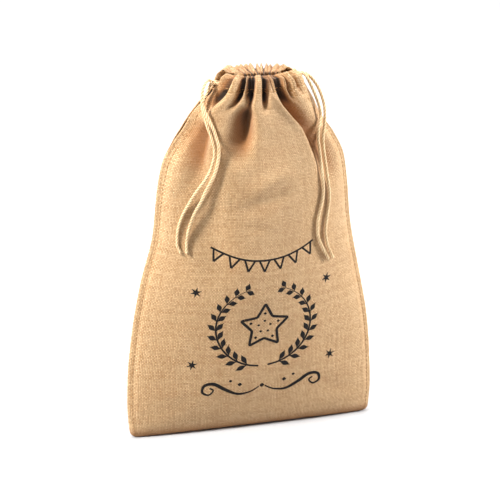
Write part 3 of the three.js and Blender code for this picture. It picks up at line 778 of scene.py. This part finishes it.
# Drawcords
# Two lengths of 3 mm cotton cord, each of three strands laid together. Each runs once round
# the channel in the hem and comes out at its own side, where its two cut ends hang free.
CORD_DIAMETER = 0.003
STRANDS = 3
STRAND_RADIUS = 0.00078
STRAND_OFFSET = 0.00074
LAY_LENGTH = 0.0098
CORD_STEP = 0.0007
CURVE_POINTS = 13
SLACK = 0.06
SLACK_PITCH = 0.004
SLACK_SEED = 7
END_FLARE = 0.35
END_LENGTH = 0.003
END_FIBRES = 16
FIBRE_RADIUS = 0.00006
FIBRE_LENGTH = 0.0022
SHORTEST_FIBRE = 0.4
FIBRES_WITHIN = 0.4
FIBRE_SEED = 1.7
FIBRE_TURN = 2.4
FIBRE_SPREAD = 0.45
FIBRE_BOW = 0.12
CORD_PALE = (0.86, 0.66, 0.39, 1)
# A darker golden, for the cord's random tone and for painted shade in the grooves between its strands.
CORD_GOLDEN_TONE_AND_SHADE = (0.36, 0.16, 0.035, 1)
GROOVE_PAINTED_SHADE = 2.2
TONE_SCALE = 90.0
TONE_FROM = 0.45
TONE_GOLD = 0.7
COTTON_FIBRES = 1900.0
COTTON_DEPTH = 0.00015

# The hidden loops, in millimetres: how a cord leads in from its notch, and then its opening
# there as an angle.
EXIT_LEAD = [
    dict(out=9.4, aside=2.4, rise=1.2),
    dict(out=6.8, aside=2.4, rise=1),
    dict(out=2.6, aside=3.1, rise=0),
]
LOOP_POINTS = 24
LOOP_OPENING = 0.4

# The ends that hang free, in millimetres, from where they leave the channel to where they are
# cut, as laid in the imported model.
DRAWCORDS = [
    dict(name="cord_left", side=-1, below_rim=11, tails=dict(
        front=[
            (-36.1, -2.4, 338.7), (-37.9, -2.8, 337.6), (-40.2, -3.8, 333.8), (-42, -4.8, 329.5),
            (-44.5, -6.5, 325.5), (-47, -10.5, 320.5), (-47, -14.5, 315), (-46, -18, 309),
            (-44.5, -21, 303), (-42, -24.5, 295.5), (-40.5, -27, 288), (-40.5, -29, 281),
            (-42, -29.5, 273.5), (-45.5, -29.5, 264), (-50, -28.5, 256), (-56, -27, 247.5),
            (-62, -24, 236.5), (-67, -21.5, 226), (-70.5, -20, 216.5), (-72.5, -19.5, 208),
            (-73, -19.5, 200.5), (-73, -20, 194.5), (-70.5, -22, 188),
        ],
        back=[
            (-36.1, 2.4, 339.2), (-38.6, 1.2, 341), (-42.3, -5, 340.8), (-46, -9, 336.5),
            (-47.5, -11.5, 331.5), (-48.5, -15, 325.5), (-47.5, -18, 319.5), (-45.5, -21, 314),
            (-43, -22.5, 308.5), (-40.5, -24.5, 303), (-38.5, -27, 295.5), (-37, -29.5, 288.5),
            (-37, -31, 280.5), (-38.5, -31.5, 272.5), (-41, -31.8, 264), (-44.5, -31, 256),
            (-49, -30, 247), (-53, -29, 237.5), (-57.5, -27, 228.5), (-61, -25.5, 219),
            (-63.5, -24.5, 210), (-65, -24, 201.5), (-65.5, -24.2, 194.5), (-65.5, -25, 188.5),
        ],
    )),
    dict(name="cord_right", side=1, below_rim=7.2, tails=dict(
        front=[
            (47.9, -2.4, 343), (50.5, -3.2, 341.4), (53.6, -5.6, 335), (56.8, -7.4, 327.5),
            (60, -8.5, 319.5), (62, -9.5, 313), (62.8, -11.5, 306.5), (61, -15, 300),
            (59, -17.5, 293.5), (58.5, -19, 285), (59.5, -20.8, 276), (60, -23, 267.5),
            (60.5, -25.5, 258.5), (61.5, -27, 249), (62, -27.5, 239.5), (61, -28.5, 230),
            (59, -29.5, 222), (57, -30.5, 214.5), (56.5, -31, 207), (56.5, -31, 200.5),
            (57.5, -30.7, 194.5), (60.5, -29.7, 187.5), (64.5, -28.5, 179.5), (69, -26.8, 171.5),
        ],
        back=[
            (47.5, 2.4, 343), (51.6, 2, 342.3), (56.8, -0.2, 338), (61.8, -3.2, 330.5),
            (65.3, -6, 321.5), (67, -8.5, 313), (67, -11, 305), (66, -13.5, 297.5),
            (64, -16.5, 290), (63.5, -18, 282), (64.5, -19.3, 272), (65.5, -21.5, 262.5),
            (66.5, -23, 253.5), (67.8, -24, 244), (69, -24.2, 236), (69, -24.5, 228.5),
            (68, -25, 221), (67, -25.8, 214), (65.8, -26.7, 206), (65.5, -27, 198.5),
            (66.5, -27, 191), (68.5, -26.4, 183.5), (71.5, -25.5, 177), (74.5, -24.3, 171),
        ],
    )),
]


def smooth_route(points, step, closed=False):
    """Evenly spaced points along one smooth curve through the given points."""
    points = [Vector(point) for point in points]
    count = len(points)
    dense = []
    for k in range(count if closed else count - 1):
        start, end = points[k], points[(k + 1) % count]
        before = points[k - 1] if closed or k else start
        after = points[(k + 2) % count] if closed or k + 2 < count else end
        leaving = start + (end - before) / 6
        arriving = end - (after - start) / 6
        dense += interpolate_bezier(start, leaving, arriving, end, CURVE_POINTS)[:-1]
    dense.append(points[0] if closed else points[-1])
    lengths = [0]
    for a, b in zip(dense, dense[1:]):
        lengths.append(lengths[-1] + (b - a).length)
    steps = max(2, round(lengths[-1] / step))
    even, k = [], 0
    for j in range(steps + 1):
        target = lengths[-1] * j / steps
        while k < len(dense) - 2 and lengths[k + 1] < target:
            k += 1
        share = (target - lengths[k]) / (lengths[k + 1] - lengths[k])
        even.append(dense[k].lerp(dense[k + 1], share))
    return even, lengths[-1]


def laid_cord(name, route, cut_end, seed):
    """Three strands laid round each other along a route in metres, frayed at a cut end."""
    curve = bpy.data.curves.new(name, "CURVE")
    curve.dimensions = "3D"
    curve.bevel_depth = STRAND_RADIUS
    curve.bevel_resolution = 2
    curve.use_fill_caps = True
    forward = (route[1] - route[0]).normalized()
    side = forward.orthogonal().normalized()
    frames = []
    last = len(route) - 1
    for k, point in enumerate(route):
        ahead = (route[min(k + 1, last)] - route[max(k - 1, 0)]).normalized()
        side = (side - ahead * side.dot(ahead)).normalized()
        frames.append((point, side, ahead.cross(side)))
    step = (route[1] - route[0]).length
    for strand in range(STRANDS):
        points, radii = [], []
        for k, (point, across, up) in enumerate(frames):
            turn = 2 * math.pi * (k * step / LAY_LENGTH + strand / STRANDS)
            frayed = 1 - smooth((last - k) * step / END_LENGTH) if cut_end else 0
            offset = STRAND_OFFSET * (1 + END_FLARE * frayed)
            points.append(point + across * offset * math.cos(turn) + up * offset * math.sin(turn))
            slack = noise.noise(Vector((k * step / SLACK_PITCH, strand * SLACK_SEED, seed)))
            radii.append(1 + SLACK * slack)
        add_spline(curve, points, radii)
    if cut_end:
        point, across, up = frames[-1]
        ahead = across.cross(up)
        for k in range(END_FIBRES):
            turn = k * FIBRE_TURN
            out = across * math.cos(turn) + up * math.sin(turn)
            longer = noise.noise(Vector((k * FIBRE_SEED, seed, 2))) ** 2
            reach = FIBRE_LENGTH * mix(SHORTEST_FIBRE, 1, longer)
            root = point + out * CORD_DIAMETER * FIBRES_WITHIN * math.sqrt((k + 0.5) / END_FIBRES)
            tip = root + ahead * reach + out * reach * FIBRE_SPREAD
            bend = (root + tip) / 2 + out * reach * FIBRE_BOW
            thin = FIBRE_RADIUS / STRAND_RADIUS
            add_spline(curve, [root - ahead * FIBRE_LENGTH / 2, bend, tip], [thin] * 3)
    mesh = mesh_of_curve(curve, name)
    # How near each point lies to the cord's middle, in the grooves between the strands, for the painted
    # shade there.
    groove = mesh.attributes.new("groove", "FLOAT", "POINT")
    line = KDTree(len(route))
    for k, point in enumerate(route):
        line.insert(point, k)
    line.balance()
    outside = STRAND_OFFSET + STRAND_RADIUS
    for vert in mesh.vertices:
        groove.data[vert.index].value = 1 - min(1, line.find(vert.co)[2] / outside)
    mesh.shade_smooth()
    mesh.materials.clear()
    mesh.materials.append(cotton)
    return mesh


cotton, tree, shader = new_material("cotton")
coordinates = tree.nodes.new("ShaderNodeTexCoord")
in_groove = tree.nodes.new("ShaderNodeAttribute")
in_groove.attribute_name = "groove"
fibre = noise_node(tree, coordinates.outputs["Object"], COTTON_FIBRES, 3.0)
tone = noise_node(tree, coordinates.outputs["Object"], TONE_SCALE, 2.0)
# Painted shade in the grooves between the strands, with a golden tone that differs at random.
tone_and_groove_shade = math_node(tree, "MULTIPLY", in_groove.outputs["Fac"], GROOVE_PAINTED_SHADE)
toned = math_node(tree, "SUBTRACT", tone, TONE_FROM)
tone_and_groove_shade = math_node(tree, "ADD", tone_and_groove_shade, math_node(tree, "MULTIPLY", toned, TONE_GOLD))
tone_and_groove_shade = math_node(tree, "MINIMUM", math_node(tree, "MAXIMUM", tone_and_groove_shade, 0.0), 1.0)
tree.links.new(mix_colour(tree, tone_and_groove_shade, CORD_PALE, CORD_GOLDEN_TONE_AND_SHADE), shader.inputs["Base Color"])
bump = tree.nodes.new("ShaderNodeBump")
bump.inputs["Distance"].default_value = COTTON_DEPTH
bump.inputs["Strength"].default_value = 0.6
tree.links.new(fibre, bump.inputs["Height"])
tree.links.new(bump.outputs[0], shader.inputs["Normal"])
shader.inputs["Roughness"].default_value = 0.7
shader.inputs["Sheen Weight"].default_value = 0.2
shader.inputs["Specular IOR Level"].default_value = 0.3


def loop_route(cord):
    """The way of a drawcord in the channel: in at its notch, once round and out again."""
    row = section(CLOTH_HEIGHT - cord["below_rim"])
    half_ring = row["half"] - CORD_INSET

    def place(x, y, rise):
        return Vector((row["mid"] + cord["side"] * x, y, row["z"] + RIM_TILT * y + rise)) * MM

    way_in, way_round, way_out = [], [], []
    for lead in EXIT_LEAD:
        way_in.append(place(half_ring + lead["out"], -lead["aside"], lead["rise"]))
        way_out.append(place(half_ring + lead["out"], lead["aside"], lead["rise"]))
    for k in range(LOOP_POINTS + 1):
        turn = mix(LOOP_OPENING, 2 * math.pi - LOOP_OPENING, k / LOOP_POINTS)
        panel = FRONT if turn < math.pi else BACK
        inset = CORD_INSET * (1 + MIDDLE_DEEPER * math.sin(turn) ** 2)
        out = (row[panel["depth"]] - inset) * abs(math.sin(turn)) ** (2 * row[panel["bow"]])
        way_round.append(place(half_ring * math.cos(turn), panel["facing"] * out, 0))
    return way_in + way_round + way_out[::-1]


def add_piece(name, mesh, slot, *replaced):
    """An object for a mesh, riding with the bag and standing for the nodes that are named."""
    piece = bpy.data.objects.new(name, mesh)
    bpy.context.collection.objects.link(piece)
    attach(piece, "root")
    if replaced:
        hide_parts(*replaced)
    return piece


for cord in DRAWCORDS:
    name = cord["name"]
    route, _ = smooth_route(loop_route(cord), CORD_STEP)
    mesh = laid_cord(f"{name}_in_channel", route, False, cord["side"])
    add_piece(f"{name}_in_channel", mesh, "cord", f"{name}_loop")
    for end, points in cord["tails"].items():
        route, length = smooth_route([Vector(point) * MM for point in points], CORD_STEP)
        mesh = laid_cord(f"{name}_{end}_end", route, True, points[0][0])
        piece = add_piece(f"{name}_{end}_end", mesh, "cord", f"{name}_tail_{end}")

# Print
# Black screen print on the front panel: a leafy ring round a star shaped biscuit, a string
# of small flags above it, four sparks beside it, and a curled line below.
PRINT_LIFT = 0.00012
PRINT_COLOUR = (0.011, 0.01, 0.01, 1)
PRINT_STEP = 0.0006
WORN_SCALE = 900.0
WORN_FROM = 0.66
WORN = 0.35

# The print seen from the front, in millimetres and angles. Widths are half widths.
LINE = 1.35
FINE_LINE = 0.95
RING = dict(x=6, z=112, wide=46, high=42, start=0.1, gap=0.32, steps=16, tip=0.3)
LEAVES = dict(
    pairs=11, start=0.22, length=12.5, shorter=0.35, width=2.5, ahead=0.8, aside=0.75,
    from_stem=0.8, belly=0.5, root=0.25, tip=0.15,
)
STAR = dict(x=6, z=112, outer=24, inner=12.5, points=5, rounding=0.22, blunt=0.06)
STAR_DOTS = [dict(reach=14, size=1.5), dict(reach=6, size=1.3)]
FLAGS = dict(left=-44, right=52, z=193, sag=13, count=7, size=9.5, long=1.15, steps=12)
CURL = dict(x=6, z=47)
CURL_LINE = [
    (3, 0), (12, -5), (24, -6), (36, 0), (47, 7), (56, 6), (58, -1), (52, -4.5), (47.5, 0), (51, 3),
]
CURL_WIDTHS = (0.7, LINE * 1.35, 0.8)
CURL_DOTS = [dict(x=22, z=4.5, size=2), dict(x=31, z=9, size=1.5)]
MIDDLE_DOT = dict(z=1, size=2.2)
SPARKS = [(-58, 150), (68, 152), (-62, 76), (74, 72)]
SPARK_REACH = 5
SPARK_TURN = 0.25
SPARK_TIP = 0.35
IN_FRONT = -0.1

print_lines = bpy.data.curves.new("print", "CURVE")
print_lines.dimensions = "3D"
print_lines.bevel_depth = MM
print_lines.bevel_resolution = 2
print_lines.use_fill_caps = True


def draw(points, widths, closed=False):
    """A line of the print through (x, z) points in millimetres, seen from the front. widths
    are half widths in millimetres, one for the whole line or one for each end and its middle."""
    route, _ = smooth_route([Vector((x, 0, z)) * MM for x, z in points], PRINT_STEP, closed)
    if closed:
        route = route[:-1]
    count = len(route) - 1
    if not isinstance(widths, tuple):
        widths = (widths, widths, widths)
    start, middle, end = widths
    radii = []
    for k in range(count + 1):
        share = 2 * k / count
        if share < 1:
            radii.append(mix(start, middle, smooth(share)))
        else:
            radii.append(mix(middle, end, smooth(share - 1)))
    add_spline(print_lines, route, radii, closed)


def dot(x, z, radius):
    line = [(x + radius * share, z) for share in (-1, -0.5, 0.5, 1)]
    draw(line, (radius / 3, radius, radius / 3))


def round_the_ring(turn, wide, high):
    return RING["x"] + wide * math.sin(turn), RING["z"] - high * math.cos(turn)


def on_string(share):
    """A place on the sagging string of the flags."""
    x = mix(FLAGS["left"], FLAGS["right"], share)
    return Vector((x, FLAGS["z"] - 4 * FLAGS["sag"] * share * (1 - share)))


for side in (-1, 1):
    stem = []
    for k in range(RING["steps"] + 1):
        turn = mix(RING["start"], math.pi - RING["gap"], k / RING["steps"])
        stem.append(round_the_ring(side * turn, RING["wide"], RING["high"]))
    draw(stem, (FINE_LINE, FINE_LINE, RING["tip"]))
    for k in range(LEAVES["pairs"]):
        turn = mix(LEAVES["start"], math.pi - RING["gap"], (k + 0.5) / LEAVES["pairs"])
        x, z = round_the_ring(side * turn, RING["wide"], RING["high"])
        along_x = side * math.cos(turn) * RING["wide"]
        ahead = Vector((along_x, math.sin(turn) * RING["high"])).normalized()
        for outwards in (-1, 1):
            aside = Vector((ahead.y, -ahead.x)) * outwards
            lean = (ahead * LEAVES["ahead"] + aside * LEAVES["aside"]).normalized()
            length = LEAVES["length"] * (1 - LEAVES["shorter"] * k / LEAVES["pairs"])
            root = Vector((x, z)) + lean * LEAVES["from_stem"]
            tip = root + lean * length
            belly = (root + tip) / 2 + ahead * LEAVES["belly"]
            draw([root, belly, tip], (LEAVES["root"], LEAVES["width"], LEAVES["tip"]))

corners = []
for k in range(2 * STAR["points"]):
    reach = STAR["inner"] if k % 2 else STAR["outer"]
    turn = math.pi * k / STAR["points"]
    corners.append(Vector((STAR["x"] + reach * math.sin(turn), STAR["z"] + reach * math.cos(turn))))
outline = []
for k, corner in enumerate(corners):
    before, after = corners[k - 1], corners[(k + 1) % len(corners)]
    outline.append(corner.lerp(before, STAR["rounding"]))
    outline.append(corner.lerp((before + after) / 2, STAR["blunt"]))
    outline.append(corner.lerp(after, STAR["rounding"]))
draw(outline, LINE, closed=True)
for k in range(STAR["points"]):
    turn = 2 * math.pi * k / STAR["points"]
    for spot in STAR_DOTS:
        x = STAR["x"] + spot["reach"] * math.sin(turn)
        z = STAR["z"] + spot["reach"] * math.cos(turn)
        dot(x, z, spot["size"])

draw([on_string(k / FLAGS["steps"]) for k in range(FLAGS["steps"] + 1)], FINE_LINE)
for k in range(FLAGS["count"]):
    share = (k + 0.5) / FLAGS["count"]
    at = on_string(share)
    slope = -4 * FLAGS["sag"] * (1 - 2 * share) / (FLAGS["right"] - FLAGS["left"])
    along = Vector((1, slope)).normalized()
    down = Vector((along.y, -along.x))
    left = at - along * FLAGS["size"] / 2
    right = at + along * FLAGS["size"] / 2
    tip = at + down * FLAGS["size"] * FLAGS["long"]
    for start, end in ((left, tip), (tip, right)):
        draw([start, start.lerp(end, 0.5), end], FINE_LINE)

for side in (-1, 1):
    draw([(CURL["x"] + side * x, CURL["z"] + z) for x, z in CURL_LINE], CURL_WIDTHS)
    for spot in CURL_DOTS:
        dot(CURL["x"] + side * spot["x"], CURL["z"] + spot["z"], spot["size"])
dot(CURL["x"], CURL["z"] + MIDDLE_DOT["z"], MIDDLE_DOT["size"])
for place in SPARKS:
    centre = Vector(place)
    for k in range(3):
        turn = math.pi * (k + SPARK_TURN) / 3
        reach = Vector((math.cos(turn), math.sin(turn))) * SPARK_REACH
        draw([centre - reach, centre, centre + reach], (SPARK_TIP, LINE, SPARK_TIP))

# The lines are laid on the cloth: each point keeps its place in the picture and a little of
# its height, and the print's own map gives it the threads below.
print_mesh = mesh_of_curve(print_lines, "print")
for vert in print_mesh.vertices:
    above = -vert.co.y / MM * PRINT_LIFT
    start = Vector((vert.co.x, IN_FRONT, vert.co.z))
    place, normal, _, _ = cloth_surface.ray_cast(start, Vector((0, 1, 0)))
    outwards = normal if normal.y < 0 else -normal
    vert.co = place + outwards * above
standing_rows = [row for row in SECTIONS if row["z"] > 0]
flat_places = []
for vert in print_mesh.vertices:
    up = round(lookup(standing_rows, "z", vert.co.z / MM, "up"), 1)
    across = (vert.co.x / MM - section(up)["mid"]) / section(up)["half"]
    flat_places.append((across * CLOTH_WIDTH / 2 * MM, up * MM))
print_uv = print_mesh.uv_layers.new(name="print_flat")
for loop in print_mesh.loops:
    print_uv.data[loop.index].uv = flat_places[loop.vertex_index]
print_mesh.shade_smooth()
print_mesh.materials.clear()
ink, tree, shader = new_material("print_ink")
ink_uv = tree.nodes.new("ShaderNodeUVMap")
ink_uv.uv_map = "print_flat"
height, shade = weave(tree, ink_uv.outputs[0])
worn = noise_node(tree, ink_uv.outputs[0], WORN_SCALE, 3.0)
worn_off = math_node(tree, "GREATER_THAN", worn, WORN_FROM)
worn_share = math_node(tree, "MULTIPLY", worn_off, WORN)
tree.links.new(mix_colour(tree, worn_share, PRINT_COLOUR, JUTE_BROWN), shader.inputs["Base Color"])
bump = tree.nodes.new("ShaderNodeBump")
bump.inputs["Distance"].default_value = THREAD_DEPTH
bump.inputs["Strength"].default_value = 0.5
tree.links.new(height, bump.inputs["Height"])
tree.links.new(bump.outputs[0], shader.inputs["Normal"])
shader.inputs["Roughness"].default_value = 0.75
shader.inputs["Specular IOR Level"].default_value = 0.15
print_mesh.materials.append(ink)
add_piece("cloth_print", print_mesh, "print")

# Floor and light
# A pale floor under white studio light: a small light at either side of the bag, and a large
# one high behind it that whitens the floor and throws a soft shadow to the front.
FLOOR_SIZE = 8
FLOOR_COLOUR = (0.46, 0.46, 0.464, 1)
WORLD_STRENGTH = 0.15
LIGHTS = [
    dict(name="left", place=(-1.28, -0.24, 1.3), aim=(0, 0, 0.2), size=0.3, power=54),
    dict(name="right", place=(1.38, -0.26, 0.95), aim=(0, 0, 0.18), size=0.35, power=40),
    dict(name="top", place=(0, 3.2, 4.6), aim=(0, 3.2, 0), size=6.5, power=680),
]
floor_grid = bmesh.new()
bmesh.ops.create_grid(floor_grid, x_segments=1, y_segments=1, size=FLOOR_SIZE)
floor_mesh = bpy.data.meshes.new("floor")
floor_grid.to_mesh(floor_mesh)
floor_grid.free()
floor = bpy.data.objects.new("floor", floor_mesh)
bpy.context.collection.objects.link(floor)
floor_material, tree, shader = new_material("floor")
shader.inputs["Base Color"].default_value = FLOOR_COLOUR
shader.inputs["Roughness"].default_value = 0.9
floor_mesh.materials.append(floor_material)
for lamp in LIGHTS:
    light = bpy.data.lights.new(lamp["name"], "AREA")
    light.energy = lamp["power"]
    light.size = lamp["size"]
    lamp_object = bpy.data.objects.new(lamp["name"], light)
    lamp_object.location = lamp["place"]
    lamp_object.rotation_mode = "QUATERNION"
    shining = Vector(lamp["aim"]) - Vector(lamp["place"])
    lamp_object.rotation_quaternion = shining.to_track_quat("-Z", "Y")
    bpy.context.collection.objects.link(lamp_object)
studio = bpy.data.worlds.new("studio")
studio.use_nodes = True
background = studio.node_tree.nodes["Background"]
background.inputs["Color"].default_value = (1, 1, 1, 1)
background.inputs["Strength"].default_value = WORLD_STRENGTH
bpy.context.scene.world = studio
bpy.context.scene.view_settings.view_transform = "Standard"
